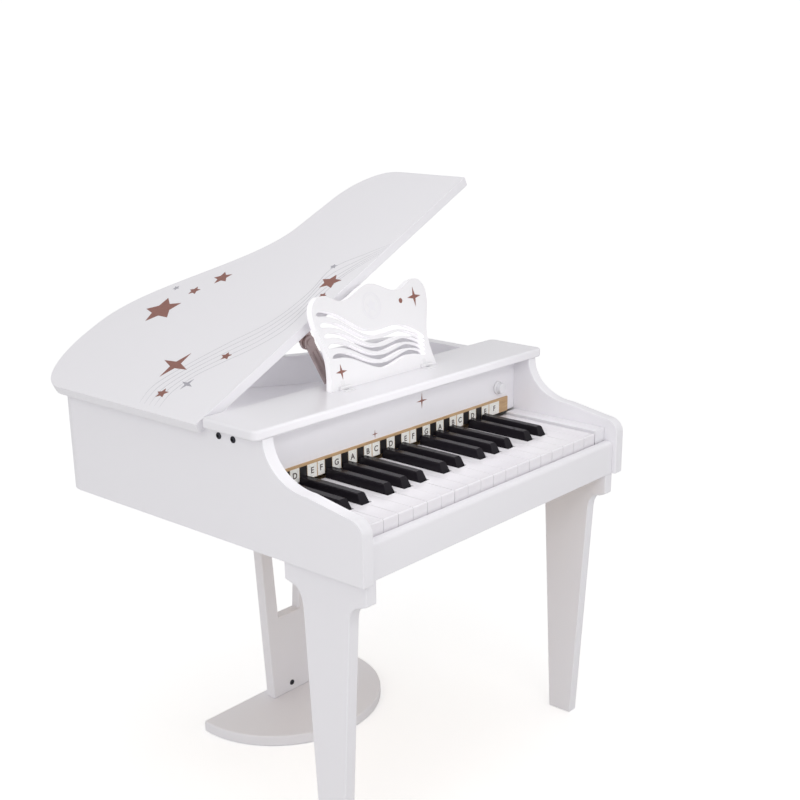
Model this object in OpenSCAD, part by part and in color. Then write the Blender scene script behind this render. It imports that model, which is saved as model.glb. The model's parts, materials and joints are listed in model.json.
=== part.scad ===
// Miniature grand piano for a dolls' house play room or a small child.
// White lacquered case on three legs, hinged lid held open by a metal stay,
// folding music desk, turning knob and thirty playable keys on one pivot rod.
// Units are millimetres.  +Z is up, +X is to the player's right, -Y faces the player.
// Origin: on the floor, under the middle of the round edge of the rear foot plate.

/* [Case] */
// Outside width over the two side panels
case_w = 470; // [380:5:560]
// Thickness of the side panels and the front legs
side_t = 15; // [10:0.5:20]
// Length of the left side panel, where the bass corner begins
side_l = 458; // [420:1:470]
// Height of the side panels
case_h = 125; // [100:1:160]
// Height of the case above the floor
leg_h = 345; // [200:5:450]
// Thickness of the curved rim
rim_t = 12; // [8:0.5:18]
// Height of the front rail
slip_h = 41; // [25:1:55]

/* [Top] */
// Thickness of the lid and of the fixed shelf
top_t = 11.5; // [8:0.5:16]
// How far the lid and shelf reach past the side panels
overhang = 12; // [4:1:20]
// Front edge of the fixed shelf, behind the cheek fronts
shelf_y0 = 133; // [110:1:150]
// Back edge of the fixed shelf
shelf_y1 = 216; // [190:1:240]
// Angle of the open lid
lid_open = 26.5; // [10:0.5:35]

/* [Keyboard] */
// Width of one white key with its gap
pitch = 22.5; // [18:0.25:24]
// Height of the white key tops above the case bottom
key_top = 54; // [48:0.5:60]
// Front face of the white keys, behind the cheek fronts
key_y0 = 18; // [14:0.5:24]
// Front foot of the black keys
black_y0 = 64; // [55:0.5:75]
// Width of a black key at its foot
black_w = 13.4; // [10:0.2:14]
// Height of a black key above the white ones
black_rise = 10; // [6:0.5:14]
// Turn of a key when it is pressed
key_dip = 2.4; // [1:0.1:3]

/* [Music desk] */
// Width of the desk at its narrow waist
desk_w = 168; // [140:0.5:200]
// Height of the desk along its face
desk_h = 109.6; // [80:1:130]
// Thickness of the desk
desk_t = 8; // [5:0.5:12]
// Height of the wave slots
slot_h = 5.2; // [3:0.2:7]
// Backward lean of the desk
desk_lean = 14; // [8:1:18]

/* [Legs] */
// How far the front legs stand in from the side panels
leg_inset = 11; // [2:1:20]
// Radius of the half-round foot plate
foot_r = 130; // [100:1:150]
// Thickness of the foot plate
foot_t = 15; // [10:1:20]

/* [Hidden] */

// Planes and lengths shared by several pieces
front = -375;
z0 = leg_h;
z1 = leg_h + case_h;
shelf_z = z1 + top_t;
half = case_w / 2;
inner = half - side_t;
white_n = 18;
keys_x0 = -208;
gap = 0.6;
blacks = [0.875, 2.042, 3.79, 4.958, 6.125, 7.875, 9.042, 10.79, 11.958, 13.125, 14.875, 16.042];
lid_y0 = shelf_y1 + 2;

// Curved tail: the S-curve runs from the tail top to the shoulder
tail_x = -135;
tail_y = 517;
waist_x = 110;
waist_y = 386;
bass_x = -150;
bass_y = side_l + 2;
shoulder_x = 165;
shoulder_y = 328;

// Front face of the rear leg
rear_leg_y = 361;

// Key lever
pivot_y = 178;
pivot_z = z0 + 40;
rod_r = 1.5;
lever_z0 = z0 + 33;
lever_z1 = z0 + 47;
tail_end = 298;

// Lid hinge and stay
hinge_x = -half + 3;
hinge_r = 2.6;
pin_r = 1;
stay_s = 160;
stay_d = 10;
stay_l = 100;
stay_a0 = -60;
stay_a1 = -11;
stud_r = 3;

// Knob axis
knob_x = 184.5;
knob_z = z0 + 91.5;

// Desk hinge axis
desk_y = 180;
desk_ax_y = desk_y - 1.4;
desk_ax_z = shelf_z + 2.5;
desk_hinge_x = 70;

// Colours
white = [0.95, 0.94, 0.96];
ivory = [0.95, 0.93, 0.98];
black = [0.05, 0.05, 0.06];
steel = [0.75, 0.76, 0.78];
copper = [0.72, 0.47, 0.40];
wood = [0.76, 0.60, 0.42];
felt = [0.45, 0.10, 0.16];

// ---------- shared shapes ----------

// Moves a piece from "distance behind the cheek fronts" to the row frame
module from_front() {
  translate([0, front, 0]) children();
}

// Extrudes a side view drawn as [y, z] through the thickness t, starting at x
module side_view(x, t) {
  translate([x, 0, 0]) rotate([90, 0, 90]) linear_extrude(t) children();
}

// Extrudes a front view drawn as [x, z] backwards from y through the thickness t
module front_view(y, t) {
  translate([0, y + t, 0]) rotate([90, 0, 0]) linear_extrude(t) children();
}

// Rectangle with rounded corners, centred on x, from y = 0 upwards
module rounded_plate(w, d, r) {
  union() {
    translate([-w / 2 + r, 0]) square([w - 2 * r, d]);
    translate([-w / 2, r]) square([w, d - 2 * r]);
    for (sx = [-1, 1], y = [r, d - r]) translate([sx * (w / 2 - r), y]) circle(r, $fn = 64);
  }
}

// Points of an ellipse arc from angle a to angle b
function arc(cx, cy, rx, ry, a, b, n) =
  [for (i = [0 : n]) [cx + rx * cos(a + (b - a) * i / n), cy + ry * sin(a + (b - a) * i / n)]];

// One point of the S-curve, moved in by d along its normal
function s_y(x) = waist_y + (tail_y - waist_y) * (1 + cos(180 * (x - tail_x) / (waist_x - tail_x))) / 2;
function s_slope(x) = -(tail_y - waist_y) / 2 * PI / (waist_x - tail_x) * sin(180 * (x - tail_x) / (waist_x - tail_x));
function s_point(x, d) =
  let (m = s_slope(x), k = sqrt(1 + m * m))
  [x + d * m / k, s_y(x) - d / k];

// Back outline of the lid, moved in by d: shoulder, S-curve, then the bass corner
function back_line(d) = concat(
  arc(shoulder_x, shoulder_y, half + overhang - shoulder_x - d, 55 - d, 0, 90, 14),
  [for (i = [0 : 22]) s_point(waist_x + (tail_x - waist_x) * i / 22, d)],
  arc(bass_x, bass_y, half + overhang + bass_x - d, tail_y - bass_y - d, 90, 180, 12));

// The case walls stand in from the lid by the overhang plus a little
rim_in = overhang + 2;
function rim_line(d) = concat(
  arc(shoulder_x, shoulder_y - 6, half - shoulder_x - d, 49 - d, 0, 90, 14),
  [for (i = [0 : 22]) s_point(waist_x + (tail_x - waist_x) * i / 22, rim_in + d)],
  arc(bass_x, side_l, half + bass_x - d, tail_y - rim_in - side_l - d, 90, 180, 12));

// ---------- case ----------

// Side view of a cheek and side panel; back is the rear end
module cheek_profile(back) {
  polygon(concat(
    [[0, 0], [back, 0], [back, case_h]],
    arc(75, case_h, 60, 47, 0, -90, 14),
    arc(20, case_h - 73, 20, 17, 90, 180, 8)));
}

module left_side() {
  color(white) from_front() difference() {
    translate([0, 0, z0]) side_view(-half, side_t) cheek_profile(side_l);
    // rebate for the hinge barrel and a shallow seat for its leaf
    translate([-half - 1, lid_y0 + 6, z1 - 3.2]) cube([7.2, 226, 4]);
    translate([-half + 6, lid_y0 + 6, z1 - 1.1]) cube([side_t, 226, 2]);
  }
}

module right_side() {
  color(white) from_front() translate([0, 0, z0])
    side_view(inner, side_t) cheek_profile(shoulder_y - 6);
}

module bent_rim() {
  outer = rim_line(0);
  inside = rim_line(rim_t);
  n = len(inside);
  color(white) from_front() translate([0, 0, z0]) linear_extrude(case_h)
    polygon(concat(outer, [for (i = [0 : n - 1]) inside[n - 1 - i]]));
}

// Plan of the room inside the case, from y back to the rim
module case_floor(y) {
  translate([-inner, y]) square([2 * inner, shoulder_y - 6 - y]);
  intersection() {
    polygon(concat([[half, 290], [half, shoulder_y - 6]], rim_line(rim_t), [[-half, 290]]));
    translate([-inner, 280]) square([2 * inner, 260]);
  }
}

module bottom_board() {
  color(wood) from_front() translate([0, 0, z0]) linear_extrude(9) case_floor(16);
}

module key_slip() {
  color(white) from_front() translate([0, 0, z0]) side_view(-inner, 2 * inner)
    polygon(concat([[16, 0], [16, slip_h]], arc(10.5, slip_h - 5, 5, 5, 90, 180, 8), [[5.5, 0]]));
}

module key_blocks() {
  color(white) from_front() {
    translate([-inner, 18, z0 + 9]) cube([10, 137, key_top - 6]);
    translate([inner - 20, 18, z0 + 9]) cube([20, 137, key_top - 6]);
  }
}

module shelf() {
  color(white) from_front() translate([0, shelf_y0, z1]) linear_extrude(top_t)
    rounded_plate(case_w + 2 * overhang, shelf_y1 - shelf_y0, 8);
}

module fallboard() {
  color(white) from_front() difference() {
    translate([-inner, 158, z0 + 58]) cube([2 * inner, 12, case_h - 58]);
    translate([knob_x, 150, knob_z]) rotate([-90, 0, 0]) cylinder(h = 40, r = 4.05, $fn = 48);
  }
}

module note_strip() {
  color(wood) from_front() translate([-214.5, 155.6, z0 + 58]) cube([418, 2.4, 19]);
}

// Cross brace behind the fallboard, and the sound board over the chimes
module inner_boards() {
  color(white) from_front() {
    translate([-inner, 204, z0 + 56]) cube([2 * inner, 10, case_h - 56]);
    translate([0, 0, z1 - 44]) linear_extrude(6) case_floor(226);
  }
}

// ---------- keyboard ----------

module pivot_rod() {
  color(steel) from_front() translate([-inner, pivot_y, pivot_z]) rotate([0, 90, 0])
    cylinder(h = 2 * inner, r = rod_r, $fn = 32);
}

// Wooden rails: under the white key heads, under the black levers and under the tails
rail_x0 = -inner + 10;
rail_w = 2 * inner - 30;
module key_rails() {
  color(wood) from_front() {
    translate([rail_x0, 24, z0 + 9]) cube([rail_w, 18, 14]);
    translate([rail_x0, 70, z0 + 9]) cube([rail_w, 12, 17]);
    translate([-inner, 236, z0 + 9]) cube([2 * inner, 16, 21]);
  }
}

module key_felts() {
  color(felt) from_front() {
    translate([rail_x0, 25, z0 + 23]) cube([rail_w, 16, 2.3]);
    translate([rail_x0, 71, z0 + 26]) cube([rail_w, 10, 2.2]);
    translate([-inner, 237, z0 + 30]) cube([2 * inner, 14, 3]);
  }
}

// Left and right edges of the narrow part of white key i, between its black neighbours
function black_near(i, side) = [for (b = blacks) if (side * (b - i - 0.5) > 0 && side * (b - i - 0.5) < 0.8) b];
function stem_lo(i) = let (n = black_near(i, -1))
  max(i * pitch + gap / 2, len(n) > 0 ? n[0] * pitch + black_w / 2 + 1 : 0);
function stem_hi(i) = let (n = black_near(i, 1))
  min((i + 1) * pitch - gap / 2, len(n) > 0 ? n[0] * pitch - black_w / 2 - 1 : 1000);

// The part of every lever that sits under the fallboard, with its bore and hammer
module lever(x0, x1, y0) {
  difference() {
    union() {
      translate([x0, y0, lever_z0]) cube([x1 - x0, tail_end - y0, lever_z1 - lever_z0]);
      translate([(x0 + x1) / 2 - 2.5, 286, lever_z1 - 1]) cube([5, 8, 13.4]);
    }
    translate([x0 - 1, pivot_y, pivot_z]) rotate([0, 90, 0])
      cylinder(h = x1 - x0 + 2, r = rod_r + 0.05, $fn = 32);
  }
}

module white_key(i) {
  lo = keys_x0 + stem_lo(i);
  hi = keys_x0 + stem_hi(i);
  top = z0 + key_top;
  color(ivory) from_front() union() {
    side_view(keys_x0 + i * pitch + gap / 2, pitch - gap)
      polygon([[key_y0, z0 + 32], [black_y0 - 2, z0 + 32], [black_y0 - 2, top],
        [key_y0 + 1.2, top], [key_y0, top - 1.2]]);
    translate([lo, black_y0 - 3, z0 + 36]) cube([hi - lo, 154 - black_y0 + 3, key_top - 36]);
    lever(lo, hi, 150);
  }
}

module black_key(j) {
  cx = keys_x0 + blacks[j] * pitch;
  top = z0 + key_top + black_rise;
  foot = lever_z1 - 1;
  color(black) from_front() union() {
    lever(cx - 5, cx + 5, black_y0 + 3);
    intersection() {
      front_view(black_y0 - 5, 154 - black_y0 + 5)
        polygon([[cx - black_w / 2, foot], [cx + black_w / 2, foot], [cx + black_w / 2, foot + 8],
          [cx + black_w / 2 - 1.6, top - 1], [cx + black_w / 2 - 2.6, top],
          [cx - black_w / 2 + 2.6, top], [cx - black_w / 2 + 1.6, top - 1], [cx - black_w / 2, foot + 8]]);
      side_view(cx - black_w, 2 * black_w)
        polygon([[black_y0, foot], [black_y0 + 1.5, top - black_rise], [black_y0 + 5.5, top - 1.5],
          [black_y0 + 7.5, top], [154, top], [154, foot]]);
    }
  }
}

// Cast bar that holds the chime rods over the hammers
module chime_block() {
  color([0.35, 0.36, 0.38]) from_front() translate([-inner, 262, z0 + 59])
    difference() {
      cube([2 * inner, 18, 20]);
      translate([10, -1, 14]) cube([2 * inner - 20, 8, 10]);
    }
}

// Centre of lever k, counting every key from the left
function lever_x(k) = k < white_n
  ? keys_x0 + (stem_lo(k) + stem_hi(k)) / 2
  : keys_x0 + blacks[k - white_n] * pitch;

module chime_rods() {
  color(steel) from_front() for (k = [0 : white_n + len(blacks) - 1])
    translate([lever_x(k), 280, z0 + 66]) rotate([-90, 0, 0])
      cylinder(h = 96 - 0.2 * lever_x(k), r = 1.6, $fn = 24);
}

// ---------- lid and its hinge ----------

// Turns the lid pieces from closed to open about the hinge line
module opened() {
  translate([hinge_x, 0, z1]) rotate([0, -lid_open, 0]) translate([-hinge_x, 0, -z1]) children();
}

module lid() {
  color(white) from_front() opened() difference() {
    translate([0, 0, z1 + 0.5]) linear_extrude(top_t)
      polygon(concat([[-half - overhang, lid_y0], [half + overhang, lid_y0]], back_line(0)));
    translate([-half - 0.2, lid_y0 + 6, z1]) cube([6.4, 226, 3.2]);
    translate([-half + 6, lid_y0 + 6, z1]) cube([16, 226, 1.1]);
    // groove that lets the lid turn past the outer edge of the case
    translate([-half - 0.2, lid_y0 - 1, z1]) cube([3.4, 256, 2.2]);
  }
}

// Barrel pieces of the long hinge; every second one belongs to the other leaf
module knuckles(first, count) {
  for (k = [0 : count - 1])
    translate([hinge_x, lid_y0 + 8 + (first + 2 * k) * 20, z1]) rotate([-90, 0, 0])
      cylinder(h = 19.8, r = hinge_r, $fn = 32);
}

module lid_hinge_case() {
  color(steel) from_front() union() {
    knuckles(0, 6);
    translate([hinge_x, lid_y0 + 8, z1]) rotate([-90, 0, 0]) cylinder(h = 219.8, r = pin_r, $fn = 24);
    for (k = [0 : 5]) translate([hinge_x, lid_y0 + 8 + 40 * k, z1 - 1.1]) cube([14, 19.8, 0.9]);
  }
}

module lid_hinge_lid() {
  color(steel) from_front() opened() difference() {
    union() {
      knuckles(1, 5);
      for (k = [0 : 4]) translate([hinge_x, lid_y0 + 28 + 40 * k, z1 + 0.5]) cube([18, 19.8, 0.6]);
    }
    translate([hinge_x, lid_y0, z1]) rotate([-90, 0, 0]) cylinder(h = 240, r = pin_r + 0.06, $fn = 24);
  }
}

// ---------- lid stay ----------

// Stay pin on the lid and stud at the arm's end for a lid angle, from the hinge line
function stay_pin(f) = [stay_s * cos(f) + stay_d * sin(f), stay_s * sin(f) - stay_d * cos(f)];
function stay_turn(f) = stay_a0 + (lid_open - f) * (stay_a1 - stay_a0) / lid_open;
function stay_stud(f) = stay_pin(f) + stay_l * [cos(stay_turn(f)), sin(stay_turn(f))];

// Unit vector along the stud's path, and a point w to the side of it
function path_dir(f) = let (d = stay_stud(f + 0.05) - stay_stud(f - 0.05)) d / norm(d);
function beside(f, w) = stay_stud(f) + w * [-path_dir(f)[1], path_dir(f)[0]];
// Half-round end of the slot; side is 1 at the open end and -1 at the closed end
function slot_end(f, w, side) =
  [for (a = [15 : 15 : 165]) let (t = path_dir(f)) stay_stud(f) + side * w * (cos(a) * [-t[1], t[0]] + sin(a) * t)];

// Path swept by a stud of radius w while the lid moves from closed to open
module stud_path(w) {
  n = 12;
  polygon(concat(
    [for (i = [0 : n]) beside(lid_open * i / n, w)],
    slot_end(lid_open, w, 1),
    [for (i = [0 : n]) beside(lid_open * (n - i) / n, -w)],
    slot_end(0, w, -1)));
}

module stay_rail() {
  color(copper) from_front() translate([hinge_x, 0, z1]) front_view(214, 3) difference() {
    translate([228, -44]) rounded_plate(88, 26, 6);
    stud_path(stud_r + 0.3);
  }
}

module stay_bracket() {
  color(copper) from_front() opened() translate([hinge_x, 0, z1]) union() {
    translate([stay_s - 17, 221.4, -1.3]) cube([34, 18, 1.8]);
    translate([stay_s - 9, 221.4, -stay_d]) cube([18, 3, stay_d]);
    translate([stay_s, 224.4, -stay_d]) rotate([90, 0, 0]) cylinder(h = 3, r = 9, $fn = 48);
    translate([stay_s, 222, -stay_d]) rotate([90, 0, 0]) cylinder(h = 5.2, r = 2.5, $fn = 32);
    translate([stay_s, 217.2, -stay_d]) rotate([90, 0, 0]) cylinder(h = 0.9, r = 4, $fn = 32);
  }
}

module stay_arm() {
  p = stay_pin(lid_open);
  color(copper) from_front() translate([hinge_x + p[0], 0, z1 + p[1]]) rotate([0, -stay_a0, 0])
    difference() {
      union() {
        front_view(217.5, 3.5) union() {
          translate([0, -6]) square([stay_l, 12]);
          circle(7.5, $fn = 48);
          translate([stay_l, 0]) circle(6, $fn = 48);
        }
        translate([stay_l, 218, 0]) rotate([90, 0, 0]) cylinder(h = 3.5, r = stud_r, $fn = 32);
      }
      translate([0, 225, 0]) rotate([90, 0, 0]) cylinder(h = 12, r = 2.55, $fn = 32);
      for (s = [-1, 1]) translate([12, 217, s * 2.6 - 0.8]) cube([stay_l - 26, 1.4, 1.6]);
    }
}

// ---------- music desk ----------

// Upper edge: a middle lobe, two dips and two outer lobes
function desk_top(x) = abs(x) < 46.5
  ? desk_h - 6.6 + 6.6 * cos(180 * x / 46.5)
  : desk_h - 8.4 - 4.8 * cos(180 * (abs(x) - 46.5) / 31);
// Half width: narrow waist, wider foot and shoulders
function desk_side(s) = s < 35
  ? desk_w / 2 + 6.5 * (1 - cos(90 * (35 - s) / 35))
  : desk_w / 2 + 6 - 6 * cos(180 * (s - 35) / 49);
function desk_right() = concat(
  [[desk_side(0), -4]],
  [for (s = [0 : 7 : 84]) [desk_side(s), s]],
  arc(77, 86, desk_side(84) - 77, desk_top(77) - 86, 8, 80, 7),
  [for (i = [0 : 18]) [74 - 4 * i, desk_top(74 - 4 * i)]]);

module desk_outline() {
  r = desk_right();
  n = len(r);
  polygon(concat(r, [[0, desk_h]], [for (i = [0 : n - 1]) [-r[n - 1 - i][0], r[n - 1 - i][1]]]));
}

// Centre line of wave slot k, counted from the foot; the upper slots tilt more
function wave(x, k) =
  21.8 + 9 * k - (0.137 + 0.036 * k) * x + 6.8 * cos(360 * (x + 62 + 2.4 * k) / 116);
// Half height of a slot, rounded off at both ends
function slot_half(x, x0, x1) = slot_h / 2 * sqrt(min(1, 0.02 + min(x - x0, x1 - x) / 5));
module wave_slot(k) {
  n = 30;
  x0 = -78 - 3 * k;
  x1 = 74 + 0.8 * k;
  xs = concat([x0, x0 + 1, x0 + 2.5], [for (i = [1 : n - 1]) x0 + (x1 - x0) * i / n], [x1 - 2.5, x1 - 1, x1]);
  m = len(xs);
  polygon(concat(
    [for (x = xs) [x, wave(x, k) + slot_half(x, x0, x1)]],
    [for (i = [0 : m - 1]) let (x = xs[m - 1 - i]) [x, wave(x, k) - slot_half(x, x0, x1)]]));
}

// Stands the desk on the shelf, leaning back
module leaning() {
  translate([0, desk_y, shelf_z + 0.4]) rotate([-desk_lean, 0, 0]) children();
}

module music_desk() {
  color(white) from_front() difference() {
    leaning() front_view(0, desk_t) difference() {
      desk_outline();
      for (k = [0 : 4]) wave_slot(k);
    }
    translate([-150, desk_y - 30, shelf_z - 20]) cube([300, 60, 20.4]);
    for (sx = [-1, 1]) {
      translate([sx * desk_hinge_x - 9, desk_ax_y, desk_ax_z]) rotate([0, 90, 0]) cylinder(h = 18, r = 2.6, $fn = 32);
      leaning() translate([sx * desk_hinge_x - 3.2, -1, 0]) cube([6.4, 2, 10]);
    }
  }
}

module desk_hinge_base() {
  color(steel) from_front() for (sx = [-1, 1]) translate([sx * desk_hinge_x, 0, 0]) union() {
    for (x = [-8, 3.2]) translate([x, desk_ax_y, desk_ax_z]) rotate([0, 90, 0]) cylinder(h = 4.8, r = 2.2, $fn = 32);
    translate([-8, desk_ax_y, desk_ax_z]) rotate([0, 90, 0]) cylinder(h = 16, r = 0.9, $fn = 24);
    for (x = [-8, 3.2]) translate([x, desk_ax_y - 9, shelf_z]) cube([4.8, 9, 1.2]);
    translate([-8, desk_ax_y - 9, shelf_z]) cube([16, 5, 1.2]);
  }
}

module desk_hinge_leaf() {
  color(steel) from_front() for (sx = [-1, 1]) difference() {
    union() {
      translate([sx * desk_hinge_x - 3, desk_ax_y, desk_ax_z]) rotate([0, 90, 0]) cylinder(h = 6, r = 2.2, $fn = 32);
      leaning() translate([sx * desk_hinge_x - 3, 0, 2]) cube([6, 1, 8]);
    }
    translate([sx * desk_hinge_x - 5, desk_ax_y, desk_ax_z]) rotate([0, 90, 0]) cylinder(h = 10, r = 0.96, $fn = 24);
  }
}

// ---------- knob ----------

module knob() {
  color([0.97, 0.97, 0.97]) from_front() translate([knob_x, 157.6, knob_z]) rotate([90, 0, 0]) union() {
    cylinder(h = 2.2, r = 8.4, $fn = 64);
    translate([0, 0, 2.2]) cylinder(h = 6, r1 = 7.2, r2 = 6.6, $fn = 64);
    translate([0, 0, -14]) cylinder(h = 14, r = 4, $fn = 48);
    translate([0, 0, -14.6]) cylinder(h = 2, r = 6, $fn = 48);
  }
}

// ---------- legs ----------

// Side view of a front leg: square capital, coved sides and a tapering shaft
module leg_profile() {
  polygon(concat(
    [[6.8, 0], [6.8, -25.5]],
    arc(15, -50, 16.5, 21, 90, 0, 8),
    [[48.5, -leg_h], [81.5, -leg_h]],
    arc(110.5, -56, 13.5, 27, 180, 90, 8),
    [[123, -25.5], [123, 0]]));
}

module front_leg(x) {
  color(white) from_front() translate([0, 0, z0]) side_view(x, side_t) leg_profile();
}

module left_leg() {
  front_leg(-half + leg_inset);
}

module right_leg() {
  front_leg(half - leg_inset - side_t);
}

module rear_leg() {
  h = leg_h - foot_t;
  color(white) from_front() translate([0, 0, foot_t]) front_view(rear_leg_y, side_t) difference() {
    polygon([[-32, 0], [32, 0], [51, h], [-51, h]]);
    polygon([[-19, h - 215], [19, h - 215], [32, h - 28], [-32, h - 28]]);
  }
}

module foot_plate() {
  color(white) linear_extrude(foot_t) intersection() {
    circle(foot_r, $fn = 180);
    translate([-foot_r, -foot_r]) square([2 * foot_r, foot_r + 15]);
  }
}

// Two screws high on each side panel and one low on the rear leg
module screws() {
  color([0.12, 0.12, 0.13]) from_front() {
    for (y = [179, 201]) {
      translate([-half, y, z0 + 117]) rotate([0, -90, 0]) cylinder(h = 1.4, r = 3.7, $fn = 32);
      translate([half, y, z0 + 117]) rotate([0, 90, 0]) cylinder(h = 1.4, r = 3.7, $fn = 32);
    }
    translate([0, rear_leg_y, 27]) rotate([90, 0, 0]) cylinder(h = 1.4, r = 3.7, $fn = 32);
  }
}

// ---------- the row ----------

left_side();
right_side();
bent_rim();
bottom_board();
key_slip();
key_blocks();
shelf();
fallboard();
note_strip();
inner_boards();
pivot_rod();
key_rails();
key_felts();
chime_block();
chime_rods();
screws();
left_leg();
right_leg();
rear_leg();
foot_plate();
stay_rail();
lid_hinge_case();
desk_hinge_base();
lid();
lid_hinge_lid();
stay_bracket();
stay_arm();
music_desk();
desk_hinge_leaf();
knob();
white_key(0);  // white_key_01
white_key(1);  // white_key_02
white_key(2);  // white_key_03
white_key(3);  // white_key_04
white_key(4);  // white_key_05
white_key(5);  // white_key_06
white_key(6);  // white_key_07
white_key(7);  // white_key_08
white_key(8);  // white_key_09
white_key(9);  // white_key_10
white_key(10);  // white_key_11
white_key(11);  // white_key_12
white_key(12);  // white_key_13
white_key(13);  // white_key_14
white_key(14);  // white_key_15
white_key(15);  // white_key_16
white_key(16);  // white_key_17
white_key(17);  // white_key_18
black_key(0);  // black_key_01
black_key(1);  // black_key_02
black_key(2);  // black_key_03
black_key(3);  // black_key_04
black_key(4);  // black_key_05
black_key(5);  // black_key_06
black_key(6);  // black_key_07
black_key(7);  // black_key_08
black_key(8);  // black_key_09
black_key(9);  // black_key_10
black_key(10);  // black_key_11
black_key(11);  // black_key_12
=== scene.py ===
# Looks of the miniature grand piano: lacquer, prints, keys, metal fittings, light and camera.
# Everything is in metres in the CAD frame: +X to the player's right, -Y towards the player, +Z up.
import json
import math

import bmesh
import bpy
from mathutils import Matrix, Vector


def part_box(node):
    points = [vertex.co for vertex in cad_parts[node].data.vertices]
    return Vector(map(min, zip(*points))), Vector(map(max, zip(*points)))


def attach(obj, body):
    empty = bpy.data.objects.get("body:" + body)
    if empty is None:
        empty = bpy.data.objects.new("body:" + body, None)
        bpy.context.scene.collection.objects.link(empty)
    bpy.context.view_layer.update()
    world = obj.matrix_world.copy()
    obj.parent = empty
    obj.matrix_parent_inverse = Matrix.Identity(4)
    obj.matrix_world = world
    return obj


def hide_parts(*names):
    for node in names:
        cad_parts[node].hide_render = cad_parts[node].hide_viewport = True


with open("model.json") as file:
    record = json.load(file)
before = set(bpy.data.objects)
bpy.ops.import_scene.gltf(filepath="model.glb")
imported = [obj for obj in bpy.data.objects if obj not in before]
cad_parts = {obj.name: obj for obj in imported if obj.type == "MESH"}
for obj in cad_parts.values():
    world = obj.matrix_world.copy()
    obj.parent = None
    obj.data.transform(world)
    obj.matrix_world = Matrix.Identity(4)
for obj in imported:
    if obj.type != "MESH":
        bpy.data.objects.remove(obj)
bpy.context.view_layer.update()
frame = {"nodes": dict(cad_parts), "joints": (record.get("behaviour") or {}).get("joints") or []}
nodes = frame["nodes"]
joints = {j["name"]: j for j in frame["joints"]}
MM = 0.001

# The music desk's front face leans back, and its foot stands this far behind the cheek fronts (mm)
DESK_LEAN = math.radians(14)
DESK_PLACE = 180

# The lid's thickness (mm)
LID_THICKNESS = 12

WHITE_KEYS = sorted(n for n in nodes if n.startswith("white_key_"))
BLACK_KEYS = sorted(n for n in nodes if n.startswith("black_key_"))


# ---------------------------------------------------------------- materials

class Shader:
    """A small helper that builds one node material."""

    def __init__(self, name):
        self.mat = bpy.data.materials.new(name)
        self.mat.use_nodes = True
        self.tree = self.mat.node_tree
        self.bsdf = self.tree.nodes["Principled BSDF"]
        self.coord = self.tree.nodes.new("ShaderNodeTexCoord").outputs["Object"]

    def link(self, a, b):
        self.tree.links.new(a, b)

    def set(self, **values):
        """Fixed values of shader inputs, named like coat_weight."""
        for key, value in values.items():
            self.bsdf.inputs[key.replace("_", " ").title().replace("Ior", "IOR")].default_value = value

    def stretched(self, sx, sy, sz):
        """Object coordinates scaled on each axis, for grain and brushing."""
        m = self.tree.nodes.new("ShaderNodeMapping")
        m.inputs["Scale"].default_value = (sx, sy, sz)
        self.link(self.coord, m.inputs["Vector"])
        return m.outputs["Vector"]

    def noise(self, scale, detail=3.0, vector=None, distortion=0.0):
        n = self.tree.nodes.new("ShaderNodeTexNoise")
        n.inputs["Scale"].default_value = scale
        n.inputs["Detail"].default_value = detail
        n.inputs["Distortion"].default_value = distortion
        self.link(vector or self.coord, n.inputs["Vector"])
        return n.outputs["Fac"]

    def remap(self, fac, lo, hi, from_lo=0.3, from_hi=0.7):
        """A factor that runs from from_lo to from_hi, stretched to run from lo to hi."""
        r = self.tree.nodes.new("ShaderNodeMapRange")
        r.inputs["From Min"].default_value = from_lo
        r.inputs["From Max"].default_value = from_hi
        r.inputs["To Min"].default_value = lo
        r.inputs["To Max"].default_value = hi
        self.link(fac, r.inputs["Value"])
        return r.outputs["Result"]

    def mix(self, fac, a, b):
        """Colour a where the factor is 0 and colour b where it is 1."""
        m = self.tree.nodes.new("ShaderNodeMix")
        m.data_type = "RGBA"
        for socket, value in ((m.inputs[0], fac), (m.inputs[6], a), (m.inputs[7], b)):
            if isinstance(value, bpy.types.NodeSocket):
                self.link(value, socket)
            elif isinstance(value, (int, float)):
                socket.default_value = value
            else:
                socket.default_value = (*value, 1.0)
        return m.outputs[2]

    def beyond(self, axis, edge):
        """1 where the object coordinate on this axis is larger than edge, else 0."""
        split = self.tree.nodes.new("ShaderNodeSeparateXYZ")
        self.link(self.coord, split.inputs["Vector"])
        above = self.tree.nodes.new("ShaderNodeMath")
        above.operation = "GREATER_THAN"
        above.inputs[1].default_value = edge
        self.link(split.outputs[axis], above.inputs[0])
        return above.outputs[0]

    def both(self, a, b):
        """Product of two factors."""
        m = self.tree.nodes.new("ShaderNodeMath")
        m.operation = "MULTIPLY"
        self.link(a, m.inputs[0])
        self.link(b, m.inputs[1])
        return m.outputs[0]

    def bump(self, height, strength, distance):
        b = self.tree.nodes.new("ShaderNodeBump")
        b.inputs["Strength"].default_value = strength
        b.inputs["Distance"].default_value = distance
        self.link(height, b.inputs["Height"])
        self.link(b.outputs["Normal"], self.bsdf.inputs["Normal"])

    def colour(self, socket):
        self.link(socket, self.bsdf.inputs["Base Color"])

    def roughness(self, socket):
        self.link(socket, self.bsdf.inputs["Roughness"])


def lacquer(name, light, shade, rough=(0.30, 0.35)):
    """Sprayed gloss lacquer: a faint drift of tone, soft patches of haze and orange peel."""
    s = Shader(name)
    s.colour(s.mix(s.remap(s.noise(5.0, 1.0), 0.0, 1.0, 0.2, 0.8), light, shade))
    s.roughness(s.remap(s.noise(11.0, 2.0), *rough, 0.2, 0.8))
    s.bump(s.noise(260.0, 1.0), 0.035, 0.2 * MM)
    s.set(coat_weight=0.3, coat_roughness=0.1)
    return s.mat


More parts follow.
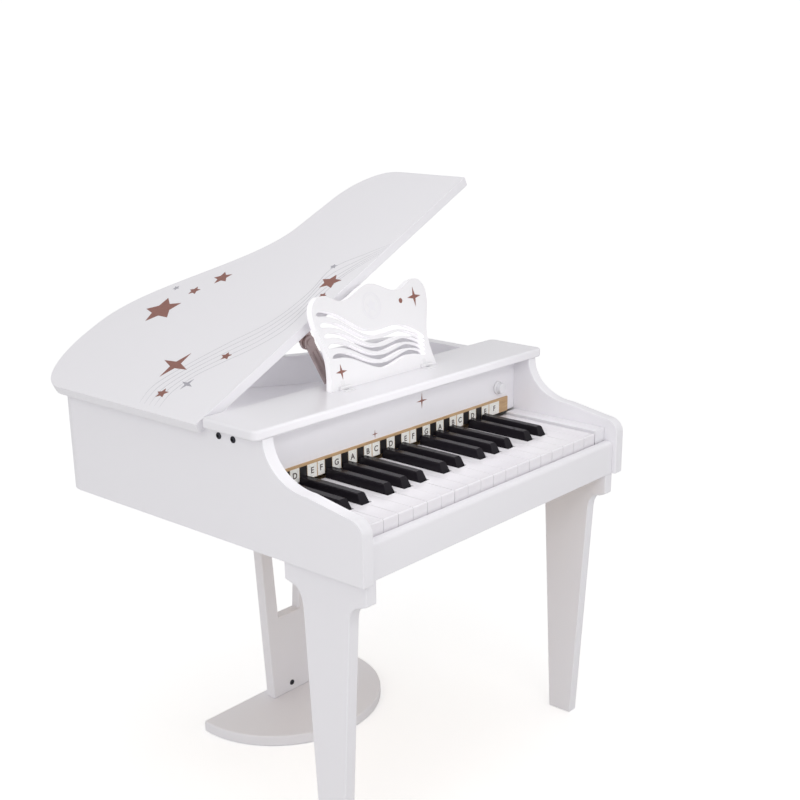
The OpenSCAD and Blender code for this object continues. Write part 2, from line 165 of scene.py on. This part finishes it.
def painted_light_edges(mat, face_normal, glow):
    """Paints light onto cut edges as a glow: faces that do not look along face_normal give off light,
    standing in for light on the slot walls.
    """
    shader_nodes = mat.node_tree.nodes
    links = mat.node_tree.links
    facing = shader_nodes.new("ShaderNodeVectorMath")
    facing.operation = "DOT_PRODUCT"
    facing.inputs[1].default_value = face_normal
    links.new(shader_nodes.new("ShaderNodeTexCoord").outputs["Normal"], facing.inputs[0])
    size = shader_nodes.new("ShaderNodeMath")
    size.operation = "ABSOLUTE"
    links.new(facing.outputs["Value"], size.inputs[0])
    ramp = shader_nodes.new("ShaderNodeMapRange")
    ramp.inputs["From Min"].default_value = 0.3
    ramp.inputs["From Max"].default_value = 0.8
    ramp.inputs["To Min"].default_value = glow
    ramp.inputs["To Max"].default_value = 0.0
    links.new(size.outputs[0], ramp.inputs["Value"])
    bsdf = shader_nodes["Principled BSDF"]
    links.new(ramp.outputs["Result"], bsdf.inputs["Emission Strength"])
    bsdf.inputs["Emission Color"].default_value = (1.0, 0.99, 1.0, 1.0)


def gloss_plastic(name, light, shade, rough):
    """Moulded plastic with very soft flow marks and fine scuffs."""
    s = Shader(name)
    flow = s.noise(18.0, 1.0, s.stretched(1.0, 0.25, 1.0))
    s.colour(s.mix(s.remap(flow, 0.0, 1.0, 0.2, 0.8), light, shade))
    s.roughness(s.remap(s.noise(40.0, 2.0), rough, rough + 0.05, 0.2, 0.8))
    s.bump(s.noise(300.0, 1.0), 0.03, 0.1 * MM)
    s.set(coat_weight=0.3, coat_roughness=0.06)
    return s.mat


def key_plastic(name, light, shade, rough, coat, ior):
    """Key caps in plastic; behind the fallboard the same solid is a bare lever with a felt hammer."""
    s = Shader(name)
    flow = s.noise(18.0, 1.0, s.stretched(1.0, 0.25, 1.0))
    cap = s.mix(s.remap(flow, 0.0, 1.0, 0.2, 0.8), light, shade)
    grain = s.noise(5.0, 6.0, s.stretched(90.0, 5.0, 90.0))
    lever = s.mix(s.remap(grain, 0.0, 1.0), (0.66, 0.49, 0.30), (0.50, 0.35, 0.20))
    fibres = s.noise(1200.0, 6.0)
    hammer = s.mix(s.remap(fibres, 0.0, 1.0), (0.62, 0.58, 0.52), (0.80, 0.77, 0.71))
    inside = s.beyond("Y", KEY_CAP_END)
    is_hammer = s.both(s.beyond("Y", HAMMER_START), s.beyond("Z", HAMMER_FOOT))
    s.colour(s.mix(is_hammer, s.mix(inside, cap, lever), hammer))
    s.roughness(s.remap(inside, rough, 0.62, 0.0, 1.0))
    s.link(s.remap(inside, coat, 0.0, 0.0, 1.0), s.bsdf.inputs["Coat Weight"])
    s.bump(s.noise(300.0, 1.0), 0.03, 0.1 * MM)
    s.set(coat_roughness=0.06, ior=ior)
    return s.mat


def wood(name, light, dark, rough=0.5):
    """Straight-grained wood along X: stretched noise rings plus fine pores."""
    s = Shader(name)
    stretch = (4.0, 60.0, 60.0)
    rings = s.noise(3.0, 5.0, s.stretched(*stretch), 1.2)
    pores = s.noise(14.0, 8.0, s.stretched(*stretch))
    body = s.mix(s.remap(rings, 0.0, 1.0), light, dark)
    s.colour(s.mix(s.remap(pores, 0.0, 0.35, 0.5, 0.75), body, tuple(c * 0.55 for c in dark)))
    s.roughness(s.remap(pores, rough, rough + 0.2))
    s.bump(pores, 0.25, 0.2 * MM)
    return s.mat


def metal(name, colour, rough, brushed="Y"):
    """Metal with brushing along one axis and slightly duller patches."""
    s = Shader(name)
    stretch = {"X": (10.0, 400.0, 400.0), "Y": (400.0, 10.0, 400.0)}[brushed]
    lines = s.noise(2.0, 6.0, s.stretched(*stretch))
    s.colour(s.mix(s.remap(s.noise(40.0), 0.0, 1.0), colour, tuple(c * 0.82 for c in colour)))
    s.roughness(s.remap(lines, rough, rough + 0.18))
    s.bump(lines, 0.12, 0.05 * MM)
    s.set(metallic=1.0)
    return s.mat


def cast(name, colour):
    """Painted casting with a pebbly skin."""
    s = Shader(name)
    s.colour(s.mix(s.remap(s.noise(90.0), 0.0, 1.0), colour, tuple(c * 0.7 for c in colour)))
    s.roughness(s.remap(s.noise(220.0), 0.45, 0.7))
    s.bump(s.noise(500.0, 6.0), 0.4, 0.4 * MM)
    return s.mat


def felt(name, colour):
    """Pressed wool: fibres in two sizes and a soft sheen."""
    s = Shader(name)
    fibres = s.noise(1500.0, 8.0, None, 2.0)
    s.colour(s.mix(s.remap(fibres, 0.0, 1.0), colour, tuple(min(1.0, c * 1.7) for c in colour)))
    s.roughness(s.remap(s.noise(200.0), 0.85, 1.0))
    s.bump(fibres, 0.8, 0.5 * MM)
    s.set(sheen_weight=0.6)
    return s.mat


def print_ink(name, colour, rough, shimmer=0.0):
    """Screen-printed ink: fine speckle, and foil shimmer where asked."""
    s = Shader(name)
    speckle = s.noise(900.0, 4.0)
    s.colour(s.mix(s.remap(speckle, 0.0, 1.0), colour, tuple(c * 0.8 for c in colour)))
    s.roughness(s.remap(s.noise(240.0, 4.0), rough, rough + 0.15))
    s.bump(speckle, 0.05, 0.02 * MM)
    s.set(metallic=shimmer)
    return s.mat


# Where a key's plastic cap ends and where its hammer stands
KEY_CAP_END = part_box("fallboard")[0].y - 3 * MM
HAMMER_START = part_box("white_key_01")[1].y - 13 * MM
HAMMER_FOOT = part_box("white_key_01")[1].z - 5 * MM

WHITE = lacquer("white_lacquer", (0.882, 0.868, 0.902), (0.876, 0.862, 0.897))
# The desk's lacquer is a lighter copy of the white lacquer: painted light that brightens the desk face
DESK_LIT_WHITE = lacquer("desk_lit_lacquer", (0.895, 0.882, 0.905), (0.889, 0.876, 0.900))
# Painted light: the desk's cut edges and slot walls glow faintly to brighten them
painted_light_edges(DESK_LIT_WHITE, (0.0, -math.cos(DESK_LEAN), math.sin(DESK_LEAN)), 0.27)
ENAMEL = gloss_plastic("white_enamel", (0.86, 0.85, 0.87), (0.84, 0.83, 0.85), 0.3)
IVORY = key_plastic("ivory_plastic", (0.89, 0.865, 0.90), (0.875, 0.85, 0.89), 0.2, 0.3, 1.5)
EBONY = key_plastic("ebony_plastic", (0.012, 0.010, 0.013), (0.017, 0.015, 0.019), 0.16, 0.0, 1.2)
KNOB_WHITE = gloss_plastic("knob_plastic", (0.86, 0.86, 0.88), (0.83, 0.82, 0.85), 0.18)
BARE_WOOD = wood("bare_wood", (0.62, 0.44, 0.26), (0.47, 0.31, 0.17))
STRIP_WOOD = wood("strip_wood", (0.60, 0.405, 0.225), (0.50, 0.32, 0.165), 0.35)
STEEL = metal("bright_steel", (0.66, 0.67, 0.70), 0.22)
COPPER = metal("rose_copper", (0.64, 0.52, 0.51), 0.32, "X")
DARK_METAL = metal("black_oxide", (0.06, 0.06, 0.07), 0.32)
CASTING = cast("cast_bar", (0.10, 0.105, 0.115))
FELT = felt("wool_felt", (0.20, 0.02, 0.05))
FOIL = print_ink("rose_foil", (0.35, 0.155, 0.125), 0.34, 0.35)
GREY_INK = print_ink("grey_ink", (0.46, 0.45, 0.50), 0.4)
PALE_INK = print_ink("pale_ink", (0.70, 0.69, 0.73), 0.35)
BLACK_INK = print_ink("black_ink", (0.012, 0.011, 0.013), 0.35)
LABEL_INK = print_ink("label_ink", (0.95, 0.94, 0.90), 0.4)
NOTE_INK = print_ink("note_ink", (0.085, 0.06, 0.055), 0.4)

LOOKS = {
    WHITE: ["left_side", "right_side", "bent_rim", "key_slip", "key_blocks", "shelf", "fallboard",
            "inner_boards", "left_leg", "right_leg", "rear_leg", "foot_plate", "lid"],
    DESK_LIT_WHITE: ["music_desk"],
    BARE_WOOD: ["bottom_board", "key_rails"],
    STRIP_WOOD: ["note_strip"],
    STEEL: ["pivot_rod", "chime_rods", "lid_hinge_case", "lid_hinge_lid"],
    ENAMEL: ["desk_hinge_base", "desk_hinge_leaf"],
    COPPER: ["stay_rail", "stay_bracket", "stay_arm"],
    CASTING: ["chime_block"],
    FELT: ["key_felts"],
    DARK_METAL: ["screws"],
    KNOB_WHITE: ["knob"],
    IVORY: WHITE_KEYS,
    EBONY: BLACK_KEYS,
}

# Rounding of each node's edges, in millimetres
ROUNDING = {
    "left_side": 1.2, "right_side": 1.2, "bent_rim": 1.0, "key_slip": 0.8, "key_blocks": 0.8,
    "shelf": 3.0, "fallboard": 0.6, "note_strip": 0.3, "left_leg": 1.4, "right_leg": 1.4,
    "rear_leg": 1.4, "foot_plate": 2.5, "lid": 1.3, "music_desk": 0.7, "knob": 0.9,
    "stay_arm": 0.5, "stay_bracket": 0.3, "chime_block": 1.0, "key_rails": 0.8,
    "inner_boards": 0.6, "bottom_board": 0.6,
}
KEY_ROUNDING = {"white_key_": 0.6, "black_key_": 0.7}


def paint(obj, material):
    """One material on every face of a mesh."""
    if not obj.material_slots:
        obj.data.materials.append(material)
    for s in obj.material_slots:
        s.material = material


def soften(obj, width_mm):
    """Rounds the edges of a CAD mesh with modifiers and leaves its own vertices alone."""
    custom = obj.data.attributes.get("custom_normal")
    if custom:
        obj.data.attributes.remove(custom)
    weld = obj.modifiers.new("weld", "WELD")
    weld.merge_threshold = 0.002 * MM
    flat = obj.modifiers.new("flat", "DECIMATE")
    flat.decimate_type = "DISSOLVE"
    flat.angle_limit = math.radians(0.4)
    bevel = obj.modifiers.new("bevel", "BEVEL")
    bevel.width = width_mm * MM
    bevel.segments = 3
    bevel.limit_method = "ANGLE"
    bevel.angle_limit = math.radians(32)
    bevel.harden_normals = True
    bevel.use_clamp_overlap = True
    for p in obj.data.polygons:
        p.use_smooth = True


for material, names in LOOKS.items():
    for name in names:
        paint(nodes[name], material)
for name, width in ROUNDING.items():
    soften(nodes[name], width)
for name in WHITE_KEYS + BLACK_KEYS:
    soften(nodes[name], KEY_ROUNDING[name[:10]])


# ---------------------------------------------------------------- mesh helpers

def finish_piece(name, bm, material, body):
    """Turns a bmesh into a piece that rides a body."""
    bmesh.ops.recalc_face_normals(bm, faces=bm.faces)
    mesh = bpy.data.meshes.new(name)
    bm.to_mesh(mesh)
    bm.free()
    obj = bpy.data.objects.new(name, mesh)
    bpy.context.scene.collection.objects.link(obj)
    mesh.materials.append(material)
    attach(obj, body)
    return obj


def slab(bm, outline, place, thick):
    """A thin plate with this outline; place maps (a, b, height), in mm, to the CAD frame."""
    low = [bm.verts.new(place(a, b, 0.0)) for a, b in outline]
    high = [bm.verts.new(place(a, b, thick)) for a, b in outline]
    bm.faces.new(list(reversed(low)))
    bm.faces.new(high)
    n = len(outline)
    for i in range(n):
        k = (i + 1) % n
        bm.faces.new((low[i], low[k], high[k], high[i]))


def star(cx, cy, radius, points, inner, turn):
    """Outline of a star; every second corner lies at inner times the radius."""
    out = []
    for i in range(2 * points):
        a = math.radians(turn + 180.0 * i / points)
        r = radius * (inner if i % 2 else 1.0)
        out.append((cx + r * math.cos(a), cy + r * math.sin(a)))
    return out


def circle(cx, cy, radius, n):
    """Outline of a circle with n corners."""
    return [(cx + radius * math.cos(2 * math.pi * i / n), cy + radius * math.sin(2 * math.pi * i / n))
            for i in range(n)]


def smooth_line(points, per=10):
    """Catmull-Rom curve through the points."""
    out = []
    for i in range(len(points) - 1):
        p0 = points[max(i - 1, 0)]
        p1, p2 = points[i], points[i + 1]
        p3 = points[min(i + 2, len(points) - 1)]
        for k in range(per):
            t = k / per
            out.append(tuple(
                0.5 * (2 * b + (c - a) * t + (2 * a - 5 * b + 4 * c - d) * t * t
                       + (3 * b - a - 3 * c + d) * t ** 3)
                for a, b, c, d in zip(p0, p1, p2, p3)))
    out.append(points[-1])
    return out


def ribbon(line, width):
    """Outline of a narrow band that follows a line and thins out at both ends."""
    left, right = [], []
    n = len(line)
    for i, (x, y) in enumerate(line):
        a, b = line[max(i - 1, 0)], line[min(i + 1, n - 1)]
        d = Vector((b[0] - a[0], b[1] - a[1])).normalized()
        w = width / 2 * min(1.0, 0.15 + 6 * min(i, n - 1 - i) / n)
        left.append((x - d.y * w, y + d.x * w))
        right.append((x + d.y * w, y - d.x * w))
    return left + right[::-1]


def decal(name, outlines, place, material, body, thick=0.12):
    """A print made of thin plates, one for each outline; thick is in mm."""
    bm = bmesh.new()
    for outline in outlines:
        slab(bm, outline, place, thick)
    return finish_piece(name, bm, material, body)


# ---------------------------------------------------------------- prints on the lid

# The prints are laid out on the closed lid and turned up about the hinge to the open lid of the rest pose.
# The joint's lower limit is the closed lid, so it is minus the angle by which the lid stands open.
hinge = Vector(joints["lid_hinge"]["pos_m"])
lid_turn = math.radians(joints["lid_hinge"]["range_deg"][0])
open_lid = Matrix.Translation(hinge) @ Matrix.Rotation(lid_turn, 4, "Y") @ Matrix.Translation(-hinge)
case_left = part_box("left_side")[0].x
case_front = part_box("left_side")[0].y
lid_top = hinge.z + LID_THICKNESS * MM


def on_lid(s, y, height):
    """A point s mm from the left panel and y mm behind the cheek fronts, on the lid's top."""
    return open_lid @ Vector((case_left + s * MM, case_front + y * MM, lid_top + height * MM))


LID_STARS = [star(145.6, 443.2, 25, 5, 0.5, 99), star(189, 428, 8.5, 5, 0.5, 85),
             star(221, 409, 13, 5, 0.48, 100), star(18, 304.3, 8.3, 5, 0.48, 85),
             star(244.5, 246, 14.5, 5, 0.5, 80), star(219, 236, 5.5, 5, 0.5, 70),
             star(93, 275, 7.3, 5, 0.5, 90)]
decal("lid_stars", LID_STARS, on_lid, FOIL, "lid_body")
decal("lid_sparkle", [star(63, 329.5, 23, 4, 0.28, 82)], on_lid, FOIL, "lid_body")
decal("lid_grey_stars", [star(39.4, 285, 10, 4, 0.28, 80), star(188, 461, 5, 5, 0.5, 60),
                         star(273, 265, 5, 5, 0.5, 95)],
      on_lid, GREY_INK, "lid_body")

# Five staff lines run between a high and a low curve and draw together towards the lid's front edge
STAFF_HIGH = [(-3, 320), (27, 327), (69, 313), (113, 292), (163, 266),
              (218, 259), (269, 264), (305, 239), (330, 219)]
STAFF_LOW = [(-3, 287), (23, 293), (53, 287), (83, 270), (117, 249),
             (155, 236), (208, 237), (258, 236), (310, 219)]
STAFF_COUNT = 5
STAFF_WIDTH = 1.0
staff_lines = []
for k in range(STAFF_COUNT):
    part = k / (STAFF_COUNT - 1)
    between = [(a + (c - a) * part, b + (d - b) * part) for (a, b), (c, d) in zip(STAFF_HIGH, STAFF_LOW)]
    staff_lines.append(ribbon(smooth_line(between), STAFF_WIDTH))
decal("lid_staff_lines", staff_lines, on_lid, PALE_INK, "lid_body", 0.08)

# ---------------------------------------------------------------- prints on the music desk

# Prints are placed from the foot of the desk's front face, which clears the shelf by this much (mm)
DESK_GAP = 0.4
desk_foot = Vector((0.0, case_front + DESK_PLACE * MM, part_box("shelf")[1].z + DESK_GAP * MM))


def on_desk(x, s, height):
    """A point x mm right of the middle and s mm up the desk's front face."""
    run = Vector((0.0, math.sin(DESK_LEAN), math.cos(DESK_LEAN))) * (s * MM)
    out = Vector((0.0, -math.cos(DESK_LEAN), math.sin(DESK_LEAN))) * (height * MM)
    return desk_foot + Vector((x * MM, 0.0, 0.0)) + run + out


decal("desk_sparkles", [star(73, 84.5, 12, 4, 0.25, 90), star(-69, 19.5, 9, 4, 0.25, 90)],
      on_desk, FOIL, "desk_body")
decal("desk_dot", [circle(48.5, 83, 3.0, 20)], on_desk, FOIL, "desk_body")

# A raised emblem in white lacquer: two rings and a star
EMBLEM = (-1.5, 84.5)
EMBLEM_HEIGHT = 0.3
EMBLEM_CORNERS = 48
emblem = bmesh.new()
for r_out, r_in in ((15.5, 14.4), (12.8, 12.2)):
    outer_ring = circle(*EMBLEM, r_out, EMBLEM_CORNERS)
    inner_ring = circle(*EMBLEM, r_in, EMBLEM_CORNERS)
    section = ((outer_ring, 0.0), (outer_ring, EMBLEM_HEIGHT), (inner_ring, EMBLEM_HEIGHT), (inner_ring, 0.0))
    loops = [[emblem.verts.new(on_desk(a, b, h)) for a, b in outline] for outline, h in section]
    for lower, upper in zip(loops, loops[1:] + loops[:1]):
        for i in range(EMBLEM_CORNERS):
            k = (i + 1) % EMBLEM_CORNERS
            emblem.faces.new((lower[i], lower[k], upper[k], upper[i]))
slab(emblem, star(*EMBLEM, 8.5, 5, 0.5, 90), on_desk, EMBLEM_HEIGHT)
finish_piece("desk_emblem", emblem, WHITE, "desk_body")

# ---------------------------------------------------------------- prints on the fallboard

fall_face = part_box("fallboard")[0].y
strip_lo, strip_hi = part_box("note_strip")


def on_fallboard(x, z, height):
    """A point x mm right of the middle and z mm above the floor, on the fallboard's face."""
    return Vector((x * MM, fall_face - height * MM, z * MM))


decal("fallboard_sparkles", [star(37, 450, 10, 4, 0.17, 90), star(-45, 428, 5, 4, 0.2, 90)],
      on_fallboard, FOIL, "case")


def on_strip(x, z, height):
    """The same on the note strip's face."""
    return Vector((x * MM, strip_lo.y - height * MM, z * MM))


# Black boxes over the black keys, cream boxes over the white ones, with plain note names (sizes in mm)
WOOD_BELOW, WOOD_ABOVE = 0.3, 2.8
BLACK_HALF = 5.7
BLACK_GAP = 0.2
WHITE_MARGIN = 0.4
label_lo, label_hi = strip_lo.z / MM + WOOD_BELOW, strip_hi.z / MM - WOOD_ABOVE
key_mid = {n: (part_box(n)[0].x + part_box(n)[1].x) / 2 / MM for n in WHITE_KEYS + BLACK_KEYS}
white_w = (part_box(WHITE_KEYS[0])[1].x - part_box(WHITE_KEYS[0])[0].x) / MM

# The boxes are printed a little narrower than the keyboard, and left of its middle
PRINT_SCALE, PRINT_SHIFT = 0.965, -4.2


def print_x(x):
    """Where a place on the keyboard falls on the printed strip."""
    return PRINT_SCALE * x + PRINT_SHIFT


def printed(x0, x1):
    """Outline of a box on the strip between two places on the keyboard."""
    left, right = print_x(x0), print_x(x1)
    return [(left, label_lo), (right, label_lo), (right, label_hi), (left, label_hi)]


black_boxes = [printed(key_mid[n] - BLACK_HALF, key_mid[n] + BLACK_HALF) for n in BLACK_KEYS]
white_boxes = []
for n in WHITE_KEYS:
    lo_x, hi_x = key_mid[n] - white_w / 2, key_mid[n] + white_w / 2
    for b in BLACK_KEYS:
        if abs(key_mid[b] - key_mid[n]) < white_w:
            if key_mid[b] < key_mid[n]:
                lo_x = max(lo_x, key_mid[b] + BLACK_HALF + BLACK_GAP)
            else:
                hi_x = min(hi_x, key_mid[b] - BLACK_HALF - BLACK_GAP)
    white_boxes.append((lo_x + WHITE_MARGIN, hi_x - WHITE_MARGIN))
decal("strip_black_boxes", black_boxes, on_strip, BLACK_INK, "case", 0.1)
decal("strip_white_boxes", [printed(a, b) for a, b in white_boxes],
      on_strip, LABEL_INK, "case", 0.1)
NOTES = "CDEFGABCDEFGABCDEF"
LETTER_SIZE = 9.5
LETTER_EXTRUDE = 0.06
LETTER_BOLDER = 0.18
LETTER_PLACE = 0.12
for (a, b), note, n in zip(white_boxes, NOTES, WHITE_KEYS):
    text = bpy.data.curves.new("note_text", "FONT")
    text.body = note
    text.size = LETTER_SIZE * MM
    text.align_x = "CENTER"
    text.align_y = "CENTER"
    text.extrude = LETTER_EXTRUDE * MM
    text.offset = LETTER_BOLDER * MM
    letter = bpy.data.objects.new("letter_" + n[-2:], text)
    bpy.context.scene.collection.objects.link(letter)
    bpy.context.view_layer.update()
    mesh = bpy.data.meshes.new_from_object(letter)
    bpy.data.objects.remove(letter)
    middle = on_strip(print_x((a + b) / 2), (label_lo + label_hi) / 2, LETTER_PLACE)
    mesh.transform(Matrix.Translation(middle) @ Matrix.Rotation(math.pi / 2, 4, "X"))
    mesh.materials.clear()
    mesh.materials.append(NOTE_INK)
    piece = bpy.data.objects.new("note_letter_" + n[-2:], mesh)
    bpy.context.scene.collection.objects.link(piece)
    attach(piece, "case")


# ---------------------------------------------------------------- screws with hex sockets

def socket_screw(name, centre, outward):
    """A domed button head with a hexagon socket."""
    radius, height, socket = 3.7 * MM, 1.4 * MM, 0.42
    bm = bmesh.new()
    rings = [(radius, 0.0), (radius, 0.25 * height), (radius * 0.93, 0.62 * height),
             (radius * 0.76, 0.9 * height), (radius * 0.56, height)]
    n = 36
    turn = Vector((0, 0, 1)).rotation_difference(outward).to_matrix()
    loops = []
    for r, h in rings:
        loops.append([bm.verts.new(centre + turn @ Vector((r * math.cos(2 * math.pi * i / n),
                                                           r * math.sin(2 * math.pi * i / n), h)))
                      for i in range(n)])

    def hexagon(h, size):
        """A loop on the outline of a hexagon at height h; size is half its width across flats."""
        out = []
        for i in range(n):
            a = 2 * math.pi * i / n
            within = (a + math.pi / 6) % (math.pi / 3) - math.pi / 6
            r = size / math.cos(within)
            out.append(bm.verts.new(centre + turn @ Vector((r * math.cos(a), r * math.sin(a), h))))
        return out

    loops.append(hexagon(height, radius * socket))
    loops.append(hexagon(height * 0.2, radius * socket))
    for lower, upper in zip(loops, loops[1:]):
        for i in range(n):
            k = (i + 1) % n
            bm.faces.new((lower[i], lower[k], upper[k], upper[i]))
    bm.faces.new(list(reversed(loops[0])))
    bm.faces.new(loops[-1])
    return finish_piece(name, bm, DARK_METAL, "case")


# Two on each side panel, these distances behind the cheek fronts, and one on the rear leg (mm)
SIDE_SCREWS = (179, 201)
SCREW_BELOW_TOP = 8
LEG_SCREW_Z = 27
panel_l, panel_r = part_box("left_side"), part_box("right_side")
screw_z = panel_l[1].z - SCREW_BELOW_TOP * MM
screws = []
for k, y in enumerate(SIDE_SCREWS):
    for side, x, out in (("left", panel_l[0].x, -1), ("right", panel_r[1].x, 1)):
        screws.append(socket_screw("screw_%s_%d" % (side, k + 1),
                                   Vector((x, case_front + y * MM, screw_z)), Vector((out, 0, 0))))
leg_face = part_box("rear_leg")[0].y
screws.append(socket_screw("screw_rear_leg", Vector((0, leg_face, LEG_SCREW_Z * MM)), Vector((0, -1, 0))))
for piece in screws:
    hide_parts("screws")

# ---------------------------------------------------------------- stage, light and camera

# The floor bends up into a wall behind the object, square to the camera
floor = bpy.data.objects.new("floor", bpy.data.meshes.new("floor"))
bm = bmesh.new()
REACH, WALL_Y, WALL_H, BEND = 6.0, 2.6, 4.5, 1.2
BEND_STEPS = 12
FLOOR_DROP = 0.2
STAGE_TURN = math.radians(-51.87)
profile = [(-REACH, 0.0), (WALL_Y - BEND, 0.0)]
for i in range(1, BEND_STEPS + 1):
    a = math.pi / 2 * i / BEND_STEPS
    profile.append((WALL_Y - BEND + BEND * math.sin(a), BEND - BEND * math.cos(a)))
profile.append((WALL_Y, WALL_H))
view_turn = Matrix.Rotation(STAGE_TURN, 3, "Z")
rows = [[bm.verts.new(view_turn @ Vector((x, y, z - FLOOR_DROP * MM))) for y, z in profile]
        for x in (-REACH, REACH)]
for i in range(len(profile) - 1):
    bm.faces.new((rows[0][i], rows[1][i], rows[1][i + 1], rows[0][i + 1]))
bm.to_mesh(floor.data)
bm.free()
for p in floor.data.polygons:
    p.use_smooth = True
bpy.context.scene.collection.objects.link(floor)

# Pale paper, lifted to near white for the camera only
FLOOR_LIFT = 0.40
paper = Shader("floor_paper")
paper.colour(paper.mix(paper.remap(paper.noise(1.2), 0.0, 1.0), (0.86, 0.86, 0.86), (0.85, 0.85, 0.855)))
paper.roughness(paper.remap(paper.noise(30.0), 0.75, 0.9))
paper.set(emission_color=(1.0, 1.0, 1.0, 1.0))
sight = paper.tree.nodes.new("ShaderNodeLightPath")
glow = paper.tree.nodes.new("ShaderNodeMath")
glow.operation = "MULTIPLY"
glow.inputs[1].default_value = FLOOR_LIFT
paper.link(sight.outputs["Is Camera Ray"], glow.inputs[0])
paper.link(glow.outputs[0], paper.bsdf.inputs["Emission Strength"])
paint(floor, paper.mat)

# A soft white sky lights the object; for the camera it is lifted to match the floor
SKY_LIGHT, SKY_LIFT = 0.71, 0.33
world = bpy.data.worlds.new("studio")
bpy.context.scene.world = world
world.use_nodes = True
sky = world.node_tree.nodes["Background"]
sky.inputs["Color"].default_value = (1.0, 1.0, 1.0, 1.0)
sky_sight = world.node_tree.nodes.new("ShaderNodeLightPath")
level = world.node_tree.nodes.new("ShaderNodeMath")
level.operation = "MULTIPLY_ADD"
level.inputs[1].default_value = SKY_LIFT
level.inputs[2].default_value = SKY_LIGHT
world.node_tree.links.new(sky_sight.outputs["Is Camera Ray"], level.inputs[0])
world.node_tree.links.new(level.outputs[0], sky.inputs["Strength"])


def area_light(name, place, target, size, power, hidden=False):
    """A soft rectangular lamp; a hidden one fills a recess and is not seen or mirrored."""
    data = bpy.data.lights.new(name, "AREA")
    data.shape = "RECTANGLE"
    data.size, data.size_y = size
    data.energy = power
    lamp = bpy.data.objects.new(name, data)
    lamp.location = place
    lamp.rotation_mode = "QUATERNION"
    lamp.rotation_quaternion = (Vector(target) - Vector(place)).to_track_quat("-Z", "Y")
    lamp.visible_camera = not hidden
    lamp.visible_glossy = not hidden
    bpy.context.scene.collection.objects.link(lamp)


area_light("key_light", (-2.2, -0.9, 1.6), (0, -0.1, 0.42), (1.6, 1.6), 9.5)
area_light("top_light", (0.1, -0.2, 2.4), (0, 0, 0.4), (2.0, 2.0), 3)
area_light("keyboard_fill", (-0.03, -0.345, 0.475), (-0.03, -0.2, 0.42), (0.40, 0.05), 0.075, hidden=True)
area_light("case_fill", (-0.14, -0.005, 0.462), (0.20, 0.04, 0.455), (0.15, 0.012), 0.05, hidden=True)
area_light("desk_fill", (-0.2, -0.9, 0.95), (0, -0.2, 0.56), (0.5, 0.2), 1.1, hidden=True)
area_light("front_light", (0.3, -2.3, 1.0), (0, -0.1, 0.42), (1.4, 1.4), 0.9)

# Camera found by fitting the key row, the side panel and the case corners
CAM_PLACE = Vector((-1.0412, -1.1424, 0.8370))
CAM_AZIMUTH = math.radians(-51.869)
CAM_ELEVATION = math.radians(17.849)
CAM_ROLL = math.radians(0.4476)
CAM_LENS, CAM_SENSOR = 56.08, 36.0
CAM_SHIFT = (-0.0926, 0.0721)
back = Vector((math.sin(CAM_AZIMUTH) * math.cos(CAM_ELEVATION),
               -math.cos(CAM_AZIMUTH) * math.cos(CAM_ELEVATION), math.sin(CAM_ELEVATION)))
side = (-back).cross(Vector((0, 0, 1))).normalized()
rise = side.cross(-back)
cam_x = side * math.cos(CAM_ROLL) + rise * math.sin(CAM_ROLL)
cam_y = rise * math.cos(CAM_ROLL) - side * math.sin(CAM_ROLL)
cam = bpy.data.objects.new("camera", bpy.data.cameras.new("camera"))
cam.matrix_world = Matrix.Translation(CAM_PLACE) @ Matrix((cam_x, cam_y, back)).transposed().to_4x4()
cam.data.sensor_width = CAM_SENSOR
cam.data.lens = CAM_LENS
cam.data.shift_x, cam.data.shift_y = CAM_SHIFT
bpy.context.scene.collection.objects.link(cam)
bpy.context.scene.camera = cam
bpy.context.scene.view_settings.view_transform = "Standard"
